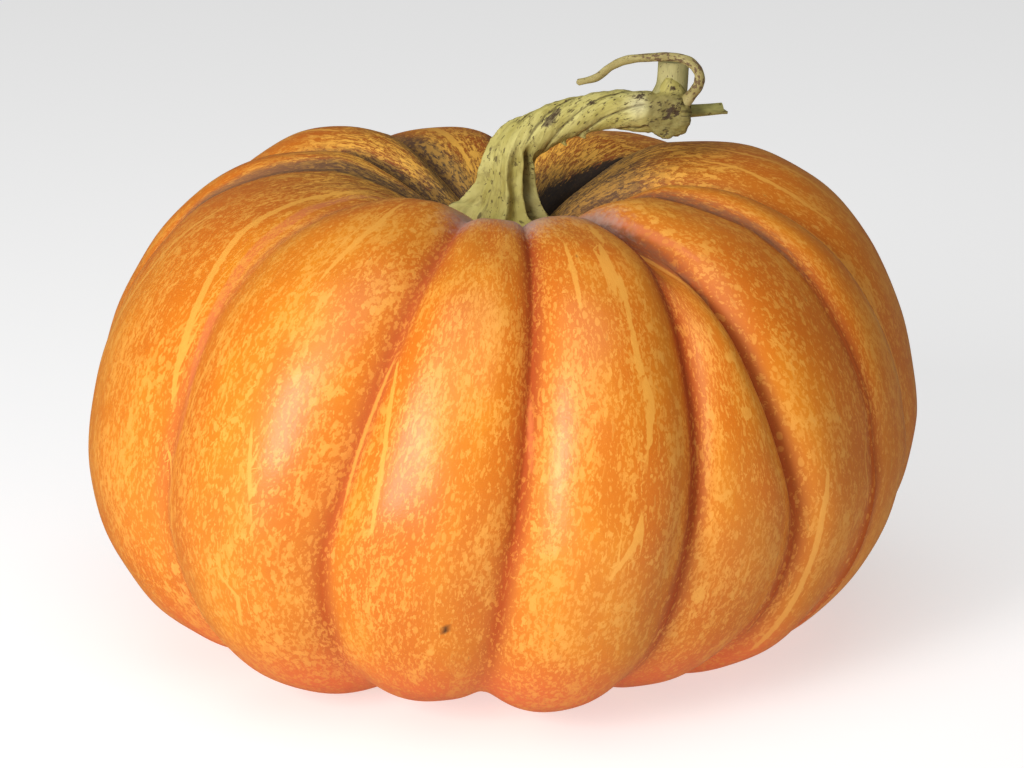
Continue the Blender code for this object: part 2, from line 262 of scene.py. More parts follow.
# How high each of the stalk's ridges stands, from the front one round to the right, main
# and minor ones in turn.
RIDGE_STRENGTHS = np.array((1.0, 1.6, 1.25, 0.8, 1.0, 0.9, 1.1, 0.8, 1.2, 0.0))
# The deep groove at the front right of its foot, and a thin one at the front left.
GOUGE_TURN = math.radians(57)
GOUGE_WIDTH = math.radians(13)
GOUGE_DEPTH = 0.30
LEFT_GROOVE_TURN = math.radians(-36)
LEFT_GROOVE_WIDTH = 0.10
ARM_GROOVES = 5
ARM_GROOVE_POWER = 0.5
ARM_HEIGHT, ARM_MEAN = 0.62, 0.42
FOOT_REACH = 12  # where the foot's ridges have given way to the arm's, in millimetres along X
GRAIN_RADIUS = 8  # millimetres, to which the pattern round the stalk is made
# Fine relief in millimetres: height, size and seed, all over the stalk and on its knob.
STALK_RELIEF = ((0.22, 6, 21), (0.10, 2.4, 22))
KNOB_RELIEF = ((0.26, 3.2, 23), (0.10, 1.5, 24))
# Where the knob's and the sheath's skin begin along X, towards the front and upwards, and
# over how many millimetres.
KNOB_ALONG, KNOB_FRONT, SHEATH_UP = (47, 4), (5, 3), (119.5, 2)
# The crease between the arm and the knob, round the rim of one of the knob's stations.
CREASE_STATION, CREASE_WIDTH, CREASE_DEPTH = 3, 0.8, 0.45
# The knob across the stalk's end, as (x, y, z, radius) in millimetres.
KNOB = (
    (57.5, 3.5, 112.5, 3.0),
    (57, 1, 112.5, 6.3),
    (56.5, -3, 112.6, 7.9),
    (56, -9, 112.8, 8.2),
    (55.8, -11, 112.9, 7.3),
    (55.7, -11.8, 112.9, 5.0),
    (55.7, -12, 112.9, 2.0),
)
# The pointed sheath at the foot of the cut vine, and the round pieces on the knob, alike.
SHEATH = (
    (57.4, -4.8, 114, 6.2),
    (57.4, -4.8, 118.5, 5.9),
    (57.2, -6.0, 121.5, 4.6),
    (56.8, -7.2, 123.8, 2.9),
    (56.4, -8.0, 125.4, 1.0),
)
VINE = ((55.5, -4, 114, 7.4), (57, -3.6, 119, 6.0), (57.8, -3, 123, 5.4), (58.3, -2, 130, 5.3))
VINE_BEVEL = (0.15, 0.86)  # height in millimetres, and radius at the cut as a share
LEAF_STALK = (
    (58, -2, 112, 3.0),
    (64, -1, 112, 2.6),
    (70, 0.5, 112.1, 2.4),
    (75.5, 2, 112.3, 2.3),
)
TENDRIL = (
    (58, -7, 112, 2.0),
    (63.5, -9.5, 119, 1.8),
    (66.5, -11.5, 124, 1.65),
    (66.5, -12.3, 128.5, 1.55),
    (63, -12, 132.3, 1.45),
    (57, -11, 133.6, 1.4),
    (50, -10, 133.2, 1.35),
    (42, -8.5, 132, 1.3),
    (36.5, -7, 129.3, 1.25),
    (31.5, -5, 125, 1.2),
    (25.5, -3, 123, 1.05),
)
# Its rounded tip: steps onwards in millimetres, and shares of the last station's radius.
TENDRIL_TIP = ((0.14, 0.93), (0.26, 0.72), (0.34, 0.4))
TENDRIL_MOTTLED = (8, 40)  # millimetres along it
LEAF_STALK_STEP = 1.4  # how much further the lower half of its cut end reaches, in millimetres
# Thorns on the arm's underside: base and tip, and the radii at base, middle and tip.
THORNS = (((19, -3, 103.5), (21.5, -4, 100.4)), ((26, -3.5, 106), (28, -4.5, 103.2)))
THORN_RADII = (2.2, 1.3, 0.3)
# Bruises on the stalk, as (x, y, z, radius) in millimetres, and the pale patch by the knob.
BRUISES = (
    (13.8, -7.0, 108.8, 1.6),
    (15.2, -7.0, 110.4, 1.6),
    (16.6, -7.0, 112.0, 1.7),
    (18.2, -6.5, 113.8, 1.6),
    (57.0, -12, 115.2, 1.7),
    (59.3, -12, 114.2, 1.0),
    (56.0, -12, 112.8, 1.1),
    (3.7, -9, 95.7, 1.5),
    (46.5, -9, 119.5, 1.8),
    (57.5, -10, 122.5, 1.6),
    (30, -7, 116.5, 1.3),
)
PALE_PATCH = (46, -10.5, 116.5, 4.0)
# Rows to a span between stations, and columns, of each tube.
STALK_GRID = (18, 200)
KNOB_GRID = (6, 64)
SHEATH_GRID = (5, 32)
THORN_GRID = (4, 10)
VINE_GRID = (16, 80)
LEAF_STALK_GRID = (14, 48)
TENDRIL_GRID = (16, 28)
SHARP_ANGLE = math.radians(55)  # the edges of the cut ends turn further, and aren't smoothed

# The camera: its elevation in degrees and its distance in metres from the fruit's axis at the
# equator, its focal length in pixels, and where in the picture that point of the axis is.
CAMERA_ELEVATION = 17.02
CAMERA_DISTANCE = 1.3836
FOCAL_PIXELS = 3884.3
AXIS_PIXEL = (505.3, 419.2)
PICTURE = (1024, 768)
SENSOR_WIDTH = 36

# The lights' places and sizes, and half the floor's width, in metres.
KEY_PLACE, KEY_SIZE = (-0.86, -1.28, 0.60), (0.50, 0.85)
TOP_PLACE, TOP_SIZE = (-0.2, -0.8, 1.6), (1.6, 1.6)
FLOOR_HALF = 6


def colour(name, description, default):
    """A colour that a user can change."""
    return FloatVectorProperty(
        name=name, description=description, default=default, size=3, subtype="COLOR"
    )


def amount(name, description, default, unit="NONE", least=0.0):
    """A number that a user can change."""
    return FloatProperty(
        name=name, description=description, default=default, min=least, unit=unit
    )


class FruitSettings(bpy.types.PropertyGroup):
    relief: amount("Relief", "Height of the soft dents and swellings on the lobes", 0.5 * MM, "LENGTH")
    skin: colour("Skin", "Orange of the skin between the flecks", (0.68, 0.182, 0.009))
    sunny: colour("Sunny skin", "Yellower orange of its brighter patches", (0.74, 0.240, 0.011))
    deep: colour("Deep skin", "Redder orange of its darker patches", (0.60, 0.122, 0.007))
    fleck: colour("Flecks", "Pale yellow of the flecks and streaks", (0.84, 0.37, 0.055))
    furrow: colour("Furrows", "Red-brown of the deep furrows", (0.40, 0.062, 0.003))
    blush: colour("Blush", "Salmon along some furrows", (0.70, 0.175, 0.045))
    belly: colour("Belly", "Salmon orange of the underside", (0.76, 0.15, 0.035))
    belly_fleck: colour("Belly flecks", "Flecks of the underside", (0.80, 0.29, 0.05))
    # Partly the skin's own brown, partly painted shade: darker on the top and back, which get less
    # light.
    crown: colour("Crown", "Brown of the skin towards the stalk", (0.26, 0.068, 0.008))
    gold: colour("Crown flecks", "Golden flecks on the brown", (0.88, 0.46, 0.065))
    # Grey-brown film along the furrows, also laid as painted shade in the hollow behind the stalk.
    film_and_shade: colour("Film", "Grey-brown film along the furrows near the stalk", (0.16, 0.10, 0.055))
    # Painted shadow: the hollow behind the stalk, painted near black.
    pit_shadow: colour("Hollow", "Near black of the hollow behind the stalk", (0.014, 0.008, 0.005))
    bloom: colour("Bloom", "Pale bloom at the stalk's foot", (0.50, 0.36, 0.30))
    # Partly the film's own dark brown, partly painted shade in the hollow behind the stalk.
    dark_film_and_shade: colour("Dark film", "The film where the skin below is brown", (0.05, 0.033, 0.018))
    dull_blush: colour("Dull blush", "The blush where the skin below is brown", (0.46, 0.22, 0.13))
    blemish: colour("Blemish", "Brown of the spot low on a front lobe", (0.08, 0.03, 0.01))


class StalkSettings(bpy.types.PropertyGroup):
    voxel: amount(
        "Grain of the mesh", "Size of the stalk's faces", 0.42 * MM, "LENGTH", least=0.2 * MM
    )
    straw: colour("Straw", "Yellow-green of the dry stalk", (0.40, 0.34, 0.085))
    straw_light: colour("Light straw", "Paler straw of its ridges", (0.54, 0.48, 0.16))
    straw_dark: colour("Dark straw", "Olive brown of its grooves and fibres", (0.16, 0.125, 0.035))
    specks: colour("Specks", "Dark brown of its specks and bruises", (0.05, 0.028, 0.012))
    bare: colour("Bare patch", "Pale straw of the patch beside the knob", (0.62, 0.57, 0.33))
    stain: colour("Stains", "Light brown of its broad stains", (0.17, 0.12, 0.04))
    knob: colour("Knob", "Olive brown of the knob", (0.15, 0.115, 0.032))
    # Painted shade, darkening the arm's grooves and the crease at the knob.
    groove: colour("Grooves", "Dark brown in the arm's grooves", (0.085, 0.062, 0.02))
    # Painted shade in the foot's deep groove.
    shade: colour("Deep groove", "Dark brown in the foot's deep groove", (0.085, 0.062, 0.025))
    bruise: colour("Bruises", "Purple brown of its bruises", (0.06, 0.034, 0.026))
    vine: colour("Vine", "Pale green of the cut vine", (0.42, 0.37, 0.15))
    vine_second: colour("Vine, second tone", "Its darker green", (0.31, 0.28, 0.105))
    vine_specks: colour("Vine specks", "Brown of its specks", (0.10, 0.06, 0.03))
    leaf_stalk: colour("Leaf stalk", "Olive of the cut leaf stalk", (0.34, 0.31, 0.09))
    leaf_stalk_second: colour("Leaf stalk, second tone", "Its darker olive", (0.22, 0.20, 0.06))
    tendril: colour("Tendril", "Tan of the dried tendril", (0.31, 0.25, 0.085))
    tendril_second: colour("Tendril, second tone", "Its paler tan", (0.40, 0.335, 0.135))
    tendril_specks: colour("Tendril specks", "Brown of its specks", (0.11, 0.055, 0.03))


class StageSettings(bpy.types.PropertyGroup):
    floor: colour("Floor", "Colour of the plain floor", (0.6, 0.6, 0.6))
    glow: amount("Glow", "Strength of the floor's own white, which lights the fruit from below", 0.56)
    key: amount("Key light", "Power of the large soft light at the left", 22.5, "POWER")
    top: amount("Top light", "Power of the very broad light above", 15.0, "POWER")
    fill: amount("Fill", "Strength of the even light all round", 0.10)


class Value:
    """A node's output, on which Python's operators add Math nodes."""

    def __init__(self, shader, socket):
        self.shader = shader
        self.socket = socket

    def output(self, name):
        """Another output of the same node."""
        return Value(self.shader, self.socket.node.outputs[name])

    def math(self, operation, *others):
        return self.shader.math(operation, self, *others)

    def __add__(self, other):
        return self.math("ADD", other)

    __radd__ = __add__

    def __sub__(self, other):
        return self.math("SUBTRACT", other)

    def __rsub__(self, other):
        return self.shader.math("SUBTRACT", other, self)

    def __mul__(self, other):
        return self.math("MULTIPLY", other)

    __rmul__ = __mul__


class Shader:
    """A material's node tree, built from expressions."""

    def __init__(self, name):
        self.material = bpy.data.materials.new(name)
        self.material.use_nodes = True
        self.tree = self.material.node_tree
        self.surface = self.tree.nodes["Principled BSDF"]

    def plug(self, socket, value):
        """Links a value to a socket, or sets the socket to a number, vector or colour."""
        if isinstance(value, Value):
            self.tree.links.new(value.socket, socket)
        elif socket.type == "RGBA":
            socket.default_value = (*value, 1)
        else:
            socket.default_value = value

    def node(self, kind, settings, sockets, output=0):
        """Adds a node: its settings first, then the values or links of its sockets."""
        made = self.tree.nodes.new(kind)
        for key, value in settings.items():
            setattr(made, key, value)
        for key, value in sockets.items():
            self.plug(made.inputs[key], value)
        return Value(self, made.outputs[output])

    def math(self, operation, *values):
        return self.node("ShaderNodeMath", {"operation": operation}, dict(enumerate(values)))

    def vector(self, operation, *values):
        return self.node("ShaderNodeVectorMath", {"operation": operation}, dict(enumerate(values)))

    def stretched(self, vector, share):
        """A pattern's vector with its third axis shortened, so that the pattern runs along it."""
        return self.vector("MULTIPLY", vector, (1, 1, share))

    def warped(self, vector, wander, reach):
        """A vector that wanders with a noise's colour, so that a pattern isn't straight."""
        return self.vector("MULTIPLY_ADD", wander, (reach,) * 3, vector)

    def larger(self, first, second):
        return self.math("MAXIMUM", first, second)

    def attribute(self, name, output="Fac"):
        return self.node("ShaderNodeAttribute", {"attribute_name": name}, {}, output)

    def noise(self, vector, size, detail, roughness, output="Fac"):
        """Noise whose features are about size units of the vector wide."""
        sockets = {"Vector": vector, "Scale": 1 / size, "Detail": detail, "Roughness": roughness}
        return self.node("ShaderNodeTexNoise", {}, sockets, output)

    def between(self, value, low, high):
        """0 below low, 1 above high, smooth between."""
        sockets = {"Value": value, "From Min": low, "From Max": high}
        return self.node("ShaderNodeMapRange", {"interpolation_type": "SMOOTHSTEP"}, sockets)

    def mix(self, factor, first, second):
        """The first colour where the factor is 0, and the second where it is 1."""
        settings = {"data_type": "RGBA", "blend_type": "MIX", "clamp_factor": True}
        return self.node("ShaderNodeMix", settings, {0: factor, 6: first, 7: second}, 2)

    def bump(self, height, distance, strength):
        sockets = {"Strength": strength, "Distance": distance, "Height": height}
        return self.node("ShaderNodeBump", {}, sockets)

    def finish(self, sockets):
        """Sets the surface's sockets, and gives the material."""
        for key, value in sockets.items():
            self.plug(self.surface.inputs[key], value)
        return self.material


def smooth_step(value):
    """0 below 0, 1 above 1, smooth between."""
    share = np.clip(value, 0, 1)
    return share * share * (3 - 2 * share)


def above(value, fade):
    """0 up to the fade's start, then smoothly up to 1 over its length."""
    start, length = fade
    return smooth_step((value - start) / length)


def inside(value, fade):
    """0 from the fade's start outwards, then smoothly up to 1 over its length inwards."""
    start, length = fade
    return smooth_step((start - value) / length)


def hump(distance, width):
    """1 at a distance of 0, fading to 0 on both sides."""
    return np.exp(-((distance / width) ** 2))


def section(angle):
    """Radius and height of the fruit without lobes, at angles up from the equator."""
    upper = angle > 0
    rounding = np.where(upper, CROWN_ROUNDING, BELLY_ROUNDING)
    rise = np.where(upper, CROWN_RISE, BELLY_DROP)
    across = np.cos(angle)
    beyond = np.sign(across) * np.abs(across) ** rounding
    radius = RING_RADIUS + (EQUATOR_RADIUS - RING_RADIUS) * beyond
    height = rise * np.sign(angle) * np.abs(np.sin(angle)) ** HEIGHT_ROUNDING
    inner = np.clip(1 - radius / RING_RADIUS, 0, None)
    return radius, height - np.where(angle > math.pi / 2, HOLLOW_DROP * inner**HOLLOW_POWER, 0)


def pole_angle(rounding):
    reach = EQUATOR_RADIUS - RING_RADIUS
    return math.acos(-(((RING_RADIUS - POLE_RADIUS) / reach) ** (1 / rounding)))


def fullness(across, softness):
    """A lobe's back across it: 0 in the furrows, 1 in the middle, with steep cheeks."""
    dome = 1 - np.abs(2 * across - 1) ** CHEEK_POWER
    soft = softness**FURROW_POWER
    top = (1 + softness**2) ** (FURROW_POWER / 2)
    return dome, ((dome**2 + softness**2) ** (FURROW_POWER / 2) - soft) / (top - soft)


def waves(points, size, seed, count=14):
    """Smooth noise of about -1 to 1 at rows of points, from sine waves about size long."""
    random = np.random.default_rng(seed)
    directions = random.normal(size=(count, points.shape[-1]))
    directions /= np.linalg.norm(directions, axis=1, keepdims=True)
    lengths = size * random.uniform(0.7, 1.6, count)
    phases = random.uniform(0, 2 * math.pi, count)
    total = sum(
        np.sin(points @ (direction * 2 * math.pi / length) + phase)
        for direction, length, phase in zip(directions, lengths, phases)
    )
    return total / math.sqrt(count / 2) / 1.6


def relief(points, rows):
    """Several such waves together, from rows of height, size and seed."""
    return sum(height * waves(points, size, seed) for height, size, seed in rows)


def fruit_points(number, across, angle):
    """Points of the fruit and what its skin needs to know of each, from arrays."""
    lobe = LOBES[number]
    right = LOBES[(number + 1) % LOBE_COUNT]
    share = np.clip(angle / (math.pi / 2), -1, 1)
    climb = (share + np.hypot(share, SWING_BLEND)) / 2
    swing, sway = climb * (1 + SWING_EASE * (1 - climb)), share - climb
    turn = np.where(number == LOBE_COUNT - 1, 360, 0)
    start = lobe[..., 0] + lobe[..., 1] * swing + lobe[..., 2] * sway
    end = right[..., 0] + right[..., 1] * swing + right[..., 2] * sway + turn
    azimuth = np.radians(start + (end - start) * across)
    even = np.radians(lobe[..., 0] + (right[..., 0] + turn - lobe[..., 0]) * across)
    radius, height = section(angle)
    step = 0.001  # radians, for the direction of the section
    low, high = section(angle - step), section(angle + step)
    along_r, along_z = high[0] - low[0], high[1] - low[1]
    length = np.hypot(along_r, along_z)
    out, up = along_z / length, -along_r / length
    belly_share = smooth_step((BELLY_START - angle) / BELLY_REACH)
    softness = lobe[..., 4] * (1 - across) + right[..., 4] * across + BELLY_SOFTNESS * belly_share
    dome, full = fullness(across, softness)
    outwards = np.clip(np.cos(angle), 0, None) * dome
    crown = np.clip(height / CROWN_RISE, 0, 1) * dome
    belly = np.clip(-height / BELLY_DROP, 0, 1) ** 2 * dome
    furrow = (lobe[..., 3] * (1 - across) + right[..., 3] * across) * MM
    furrow = furrow * (1 - BELLY_SHALLOWING * belly_share)
    furrow = furrow * np.sqrt(radius / EQUATOR_RADIUS)
    furrow = furrow * smooth_step((radius - POLE_RADIUS) / FURROW_START)
    width = (end - start) * math.pi / 180 * radius
    full = full * smooth_step(width / NARROW_LOBE)
    offset = -furrow * (1 - full) + lobe[..., 5] * MM * outwards
    reach = radius + out * offset
    rise = height + up * offset
    rise = rise + MM * (lobe[..., 6] * crown - lobe[..., 7] * outwards + lobe[..., 8] * belly)
    points = np.stack((reach * np.sin(azimuth), -reach * np.cos(azimuth), rise), axis=-1)
    normal = np.stack((out * np.sin(azimuth), -out * np.cos(azimuth), up), axis=-1)
    to_left, to_right = across * width, (1 - across) * width
    at_left = (to_left < to_right)[..., None]
    return {
        "points": points,
        "normal": normal,
        "azimuth": azimuth,
        "even": even,
        "radius": radius,
        "gap": np.minimum(to_left, to_right),
        "tints": np.where(at_left, TINTS[number], TINTS[(number + 1) % LOBE_COUNT]),
        "width": width,
    }


def arc_lengths(angles):
    """Distance along the section from the equator, up positive, at each angle."""
    fine = np.linspace(-2.6, 2.6, 4001)  # a little beyond both poles
    radius, height = section(fine)
    steps = np.hypot(np.diff(radius), np.diff(height))
    along = np.concatenate(((0,), np.cumsum(steps)))
    along -= np.interp(0, fine, along)
    return np.interp(angles, fine, along)


def closed_mesh(name, rings):
    """A closed mesh through rings of points (rows, columns, 3), with both ends filled."""
    rows, columns = rings.shape[:2]
    ends = [rings[0].mean(axis=0), rings[-1].mean(axis=0)]
    vertices = np.concatenate((rings.reshape(-1, 3), ends))
    row, column = np.meshgrid(np.arange(rows - 1), np.arange(columns), indexing="ij")
    here = row * columns + column
    beside = row * columns + (column + 1) % columns
    quads = np.stack((here, beside, beside + columns, here + columns), axis=-1).reshape(-1, 4)
    rim = np.arange(columns)
    rim_after = (rim + 1) % columns
    top = (rows - 1) * columns
    bottom_end = np.full(columns, rows * columns)
    first = np.stack((rim_after, rim, bottom_end), axis=-1)
    last = np.stack((top + rim, top + rim_after, bottom_end + 1), axis=-1)
    mesh = bpy.data.meshes.new(name)
    mesh.from_pydata(vertices.tolist(), [], quads.tolist() + first.tolist() + last.tolist())
    mesh.shade_smooth()
    return mesh


def add_piece(name, mesh, material, node):
    """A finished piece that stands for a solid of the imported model."""
    mesh.materials.append(material)
    piece = bpy.data.objects.new(name, mesh)
    bpy.context.scene.collection.objects.link(piece)
    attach(piece, "root")
    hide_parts(node)


def set_attribute(mesh, name, values):
    """A named value, or a vector, for each point of a mesh."""
    kind, key = ("FLOAT_VECTOR", "vector") if values.ndim == 2 else ("FLOAT", "value")
    made = mesh.attributes.new(name, kind, "POINT")
    made.data.foreach_set(key, np.ascontiguousarray(values, np.float32).ravel())


def fruit_grid(columns, rows, ease):
    """Lobe number, place across the lobe and angle of each point of the fruit, with so many
    columns to a lobe, gathered towards the furrows by ease."""
    place = np.arange(columns) / columns
    eased = 0.5 - 0.5 * np.cos(math.pi * place)
    across = np.tile((1 - ease) * place + ease * eased, LOBE_COUNT)
    number = np.repeat(np.arange(LOBE_COUNT), columns)
    angle = np.linspace(-pole_angle(BELLY_ROUNDING), pole_angle(CROWN_ROUNDING), rows)
    return np.broadcast_arrays(number[None, :], across[None, :], angle[:, None])


def axis_place():
    """Where the fruit's axis crosses its equator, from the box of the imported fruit."""
    points = fruit_points(*fruit_grid(CAD_COLUMNS, CAD_ROWS, 1))["points"].reshape(-1, 3)
    low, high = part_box("fruit")
    middle = (points.min(axis=0) + points.max(axis=0)) / 2
    place = np.array((low.x + high.x, low.y + high.y, 0)) / 2 - middle
    place[2] = high.z - points[:, 2].max()
    return place


AXIS = axis_place()


def line_field(found, angle, rows):
    """For each point, how far it is to the right of the nearest of some marks, in
    millimetres, and the mark's half width there, 0 away from all."""
    offset, width = np.full(angle.shape, MARK_REACH), np.zeros(angle.shape)
    degrees = np.degrees(angle)
    for half, places in rows:
        places = np.array(places)[::-1]
        middle = np.interp(degrees, places[:, 1], places[:, 0])
        turn = np.remainder(np.degrees(found["azimuth"]) - middle + 180, 360) - 180
        away = np.radians(turn) * found["radius"] / MM
        from_end = np.minimum(degrees - places[0, 1], places[-1, 1] - degrees)
        taper = smooth_step(from_end / 7 + 0.5) * (0.6 + 0.4 * smooth_step(from_end / 12))
        nearest = np.abs(away) < np.abs(offset)
        offset = np.where(nearest, away, offset)
        width = np.where(nearest, half * taper * inside(np.abs(away), MARK_FADE), width)
    return np.clip(offset, -MARK_REACH, MARK_REACH), width


def blot_field(found, angle, rows):
    """How far inside any of some round marks each point is, in millimetres."""
    depth = np.full(angle.shape, -MARK_REACH)
    for azimuth, high, reach in rows:
        turn = np.remainder(np.degrees(found["azimuth"]) - azimuth + 180, 360) - 180
        across = np.radians(turn) * found["radius"]
        along = arc_lengths(angle[:, :1]) - arc_lengths(math.radians(high))
        depth = np.maximum(depth, reach - np.hypot(across, along) / MM)
    return depth


def dots(s, vector, spacing, share, size):
    """Round spots scattered about spacing apart, on a share of the places, in 0 to 1."""
    cells = s.node("ShaderNodeTexVoronoi", {}, {"Vector": vector, "Scale": 1 / spacing})
    chance = s.node("ShaderNodeSeparateXYZ", {}, {0: cells.output("Color")})
    reach = size * (0.4 + 0.6 * chance.output("Y"))
    return (1 - s.between(cells, reach, reach + 0.12)) * s.between(share - chance, 0.0, 0.02)


def skin_masks(found, number, across, angle):
    """Where each tint and mark of the skin is, by the name of its attribute."""
    gap, radius = found["gap"] / MM, found["radius"] / MM
    carried, red, blush, spread = (found["tints"][..., k] for k in range(4))
    upper = angle > UPPER_ANGLE
    behind = 0.5 - 0.5 * np.cos(found["azimuth"] - FRONT_AZIMUTH)

    furrow_width = FURROW_WIDTH + FURROW_WIDENING * np.clip(found["radius"] / EQUATOR_RADIUS, 0, 1)
    film_width = FILM_WIDTH + (spread - FILM_WIDTH) * above(angle, FILM_SPREAD)
    film_and_shade = hump(gap, film_width) * carried * above(angle, FILM_ANGLE)
    # Behind the stalk's foot the film is partly painted shade of the hollow.
    inner = inside(radius, INNER_RADIUS) * upper
    film_and_shade = np.maximum(film_and_shade, inner * smooth_step(behind * 1.4) * 0.8)
    film_and_shade = np.maximum(film_and_shade, (number == PIT_SHADOW_FURROW - 1) * inside(radius, FAN_RADIUS))
    crown = inside(radius, CROWN_RADIUS) * above(angle, CROWN_ANGLE)
    bloom = inside(radius, BLOOM_RADIUS) * upper
    bloom = bloom * (0.3 + 0.7 * hump(gap, BLOOM_WIDTH)) * (1 - smooth_step(behind * 7))

    # The pit's painted shadow lies on the upper side of its furrow, and widens towards the stalk.
    into = np.where(number == PIT_SHADOW_FURROW, across * found["width"] / MM, -99)
    into = np.where(number == PIT_SHADOW_FURROW - 1, (across - 1) * found["width"] / MM, into)
    reach = 2.5 + 0.34 * np.clip(60 - radius, 0, None)
    pit_shadow = smooth_step(1.15 - 0.75 * into / reach) * smooth_step(1.2 + into / 2.5)

    masks = {
        "furrow": hump(gap, furrow_width) * above(angle, FURROW_ANGLE),
        "red": red,
        "blush": blush * hump(gap, BLUSH_WIDTH) * above(angle, BLUSH_ANGLE),
        "film_and_shade": film_and_shade,
        # The crown's brown is partly painted shade of the top, stronger towards the back.
        "crown": crown * (0.25 + 0.75 * smooth_step(behind * 1.6)),
        "belly": above(-found["points"][..., 2] / MM, BELLY_DEPTH),
        "blot": blot_field(found, angle, BLOTS),
        "blemish": smooth_step(blot_field(found, angle, (BLEMISH,)) * 2),
        "bloom": bloom,
        "pit_shadow": pit_shadow * inside(radius, PIT_SHADOW_RADIUS) * upper,
    }
    for name, rows in (("streak", STREAKS), ("highlight_thread", HIGHLIGHT_THREADS), ("salmon", SALMON)):
        masks[name], masks[name + "_half"] = line_field(found, angle, rows)
    return masks


def rind_material(settings):
    """Waxy flecked skin. flow runs with the ribs in millimetres, and the other masks say
    where a point is on the fruit."""
    s = Shader("rind")
    flow = s.attribute("flow", "Vector")
    furrow, red = s.attribute("furrow"), s.attribute("red")
    film_and_shade, crown = s.attribute("film_and_shade"), s.attribute("crown")
    belly, blot = s.attribute("belly"), s.attribute("blot")
    bloom, pit_shadow = s.attribute("bloom"), s.attribute("pit_shadow")

    # Patterns, with their sizes in millimetres, stretched along the ribs.
    wander = s.noise(flow, 7, 2, 0.6, output="Color")
    warped = s.warped(s.stretched(flow, 0.5), wander, 2.0)
    long = s.warped(s.stretched(flow, 0.17), wander, 1.6)
    broad = s.noise(s.stretched(flow, 0.5), 34, 2, 0.5)
    cloud = s.noise(s.stretched(flow, 0.4), 13, 3, 0.6)
    density = s.between(cloud, 0.36, 0.66)
    fine = s.noise(warped, 1.15, 2, 0.6)
    clots = s.noise(warped, 2.5, 3, 0.62)
    lines = s.noise(long, 1.7, 3, 0.62)
    ragged = (clots - 0.5) * 1.8 + (fine - 0.5) * 1.2

    # The ground between the flecks, browner at the crown, partly as painted shade of the top and back,
    # redder and filmed in the furrows, with the film near the stalk partly painted shade.
    base = s.mix(s.between(broad, 0.36, 0.64), settings.skin, settings.sunny)
    base = s.mix((1 - density) * 0.30, base, settings.deep)
    base = s.mix(belly * 0.9, base, settings.belly)
    base = s.mix(crown * (0.80 + 0.20 * density), base, settings.crown)
    base = s.mix(furrow * red, base, settings.furrow)
    # The film, which near the stalk is partly painted shade.
    film_and_shade_cover = s.between(film_and_shade + (lines - 0.5) * 0.7, 0.10, 0.75)
    dark = s.mix(crown, settings.film_and_shade, settings.dark_film_and_shade)
    base = s.mix(film_and_shade_cover * (0.72 + 0.23 * crown), base, dark)

    # Flecks, patches, round dots and strands, closer together where it is dense.
    thin = 0.550 - 0.11 * density + 0.05 * furrow * red
    flecks = s.between(fine, thin, thin + 0.10)
    patch = 0.635 - 0.11 * density + 0.06 * furrow - 0.08 * crown
    patches = s.between(clots, patch, patch + 0.04)
    strand = 0.61 - 0.11 * crown
    strands = s.between(lines, strand, strand + 0.06)
    marks = s.larger(flecks * (0.55 - 0.15 * crown), patches * (0.75 + 0.2 * crown))
    marks = s.larger(marks, dots(s, warped, 2.4, 0.40, 0.30) * 0.6)
    marks = s.larger(marks, strands * (0.40 + 0.25 * crown))
    pale = s.mix(crown, settings.fleck, settings.gold)
    pale = s.mix(belly * 0.6, pale, settings.belly_fleck)
    skin = s.mix(marks * (1 - furrow * red * 0.5 - film_and_shade_cover * 0.55), base, pale)

    def line(name, soft, rough):
        """A mark along the ribs, with edges so soft and so ragged in millimetres."""
        half = s.attribute(name + "_half")
        depth = half - s.math("ABSOLUTE", s.attribute(name)) + ragged * rough
        return s.between(depth, -soft, soft) * s.between(half, 0.15, 0.5)

    # The marks that are placed one by one.
    salmon = s.larger(line("salmon", 0.9, 0.8), s.attribute("blush"))
    blush = s.mix(crown, settings.blush, settings.dull_blush)
    skin = s.mix(salmon * (0.70 - marks * 0.5), skin, blush)
    spots = s.between(blot + ragged * 2.6, 0.0, 0.6) * 0.8
    skin = s.mix(s.larger(line("streak", 0.25, 0.6), spots) * 0.85, skin, pale)
    # Painted highlights along thin ridge edges.
    skin = s.mix(line("highlight_thread", 0.35, 0.25) * 0.6, skin, pale)

    # The pit painted near black as shadow, the bloom in front of the stalk and the dark spot.
    pit_shadow_cover = s.between(pit_shadow + (lines - 0.5) * 1.6, 0.25, 0.75)
    skin = s.mix(pit_shadow_cover * 0.95, skin, settings.pit_shadow)
    dusty = s.between(bloom + (clots - 0.5) * 0.9, 0.1, 0.85) * (0.8 - marks * 0.3)
    skin = s.mix(dusty, skin, settings.bloom)
    skin = s.mix(s.attribute("blemish"), skin, settings.blemish)
    shine = 0.35 + 0.10 * fine + 0.25 * film_and_shade + 0.2 * bloom + 0.5 * furrow + 0.15 * crown

    # Fine relief.
    peel = s.noise(flow, 0.8, 2, 0.5)
    height = peel * 0.5 + marks * 0.08 + lines * (0.2 + crown * 0.8)
    normal = s.bump(height, 0.22 * MM, 0.55)
    sockets = {"Base Color": skin, "Roughness": shine, "Normal": normal, "Specular IOR Level": 0.44}
    return s.finish(sockets)


